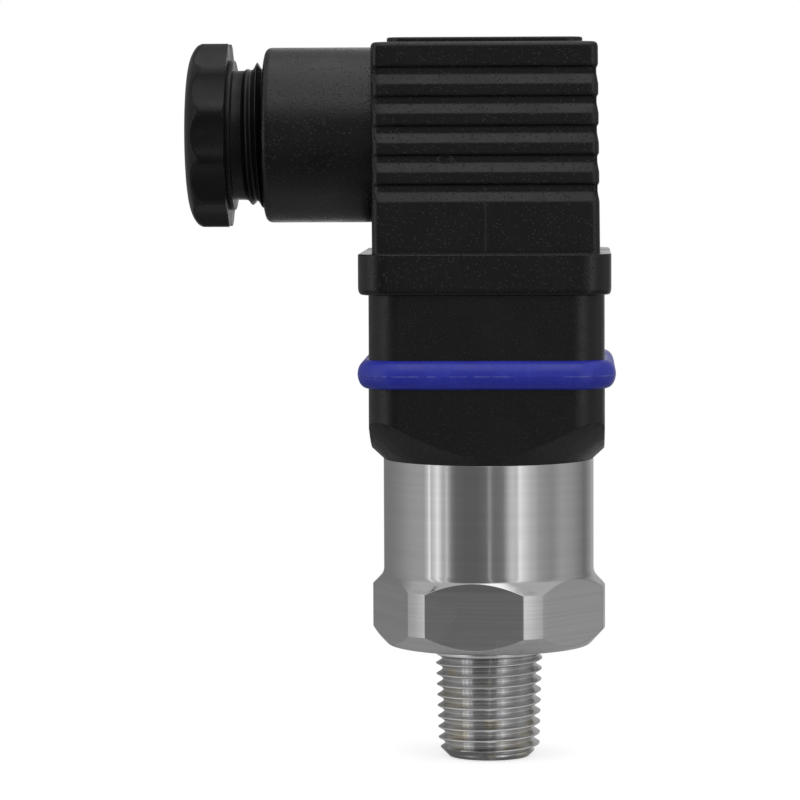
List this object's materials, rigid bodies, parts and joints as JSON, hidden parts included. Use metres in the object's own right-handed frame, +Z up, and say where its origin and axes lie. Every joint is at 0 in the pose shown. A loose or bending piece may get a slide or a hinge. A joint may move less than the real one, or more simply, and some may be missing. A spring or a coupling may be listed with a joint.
{
  "type": "pressure transmitter",
  "caption": "Pressure transmitter with a tapered male thread, a hexagon body and a right-angle plug with a cable gland.",
  "frame": {"origin": "centre of the process thread's open end", "axes": "+Z up the body's axis, cable gland along -X, marked front along -Y"},
  "size_m": [0.054, 0.0322, 0.0915],
  "materials": {
    "steel": "turned and milled stainless steel",
    "steel_inner": "turned stainless steel",
    "screw_steel": "zinc plated",
    "tinned_contact": "tinned brass",
    "contact_brass": "turned brass",
    "ceramic": "ground alumina ceramic",
    "board": "green solder mask",
    "chip": "moulded package",
    "capacitor": "fired ceramic",
    "black_plastic": "moulded black plastic",
    "housing_plastic": "spark-eroded black plastic",
    "gland_plastic": "smooth moulded black plastic",
    "blue_silicone": "moulded blue silicone",
    "seal_rubber": "moulded rubber"
  },
  "bodies": {
    "transmitter": {"sensor_body": "steel", "cell_seal": "seal_rubber", "pressure_cell": "ceramic", "cell_clamp_ring": "steel_inner", "cell_lead_wires": "contact_brass", "board_carrier": "black_plastic", "signal_board": "board", "amplifier_chip": "chip", "board_capacitors": "capacitor", "connector_base": "black_plastic", "base_seal": "seal_rubber", "thread_insert": "contact_brass", "contact_blade_1": "tinned_contact", "contact_blade_2": "tinned_contact", "contact_blade_3": "tinned_contact", "earth_blade": "tinned_contact"},
    "plug": {"profile_gasket": "blue_silicone", "contact_block": "black_plastic", "terminal_clamp_1": "tinned_contact", "terminal_clamp_2": "tinned_contact", "terminal_clamp_3": "tinned_contact", "earth_clamp": "tinned_contact", "terminal_screw_1": "screw_steel", "terminal_screw_2": "screw_steel", "terminal_screw_3": "screw_steel", "earth_screw": "screw_steel", "plug_housing": "housing_plastic", "gland_seal": "seal_rubber"},
    "screw_seal": {"screw_seal": "seal_rubber"},
    "retaining_screw": {"retaining_screw": "screw_steel"},
    "gland_follower": {"gland_washer": "contact_brass"},
    "gland_screw": {"gland_screw": "gland_plastic"}
  },
  "joints": [
    {"name": "plug_pull", "type": "slide", "parent": "transmitter", "child": "plug", "axis": [0, 0, 1], "range_m": [0, 0.02]},
    {"name": "screw_lift", "type": "slide", "parent": "plug", "child": "screw_seal", "axis": [0, 0, 1], "range_m": [0, 0.005]},
    {"name": "screw_turn", "type": "hinge", "parent": "screw_seal", "child": "retaining_screw", "pos_m": [0, 0, 0.0872], "axis": [0, 0, 1], "range_deg": [0, 3600]},
    {"name": "gland_travel", "type": "slide", "parent": "plug", "child": "gland_follower", "axis": [1, 0, 0], "range_m": [-0.0051, 0.0034]},
    {"name": "gland_turn", "type": "hinge", "parent": "gland_follower", "child": "gland_screw", "pos_m": [-0.03, 0, 0.0794], "axis": [1, 0, 0], "range_deg": [-1300, 865]}
  ],
  "couplings": [
    {"joint": "screw_turn", "follows": "screw_lift", "rad_per_m": 12566},
    {"joint": "gland_travel", "follows": "gland_turn", "m_per_rad": 0.00022457}
  ]
}
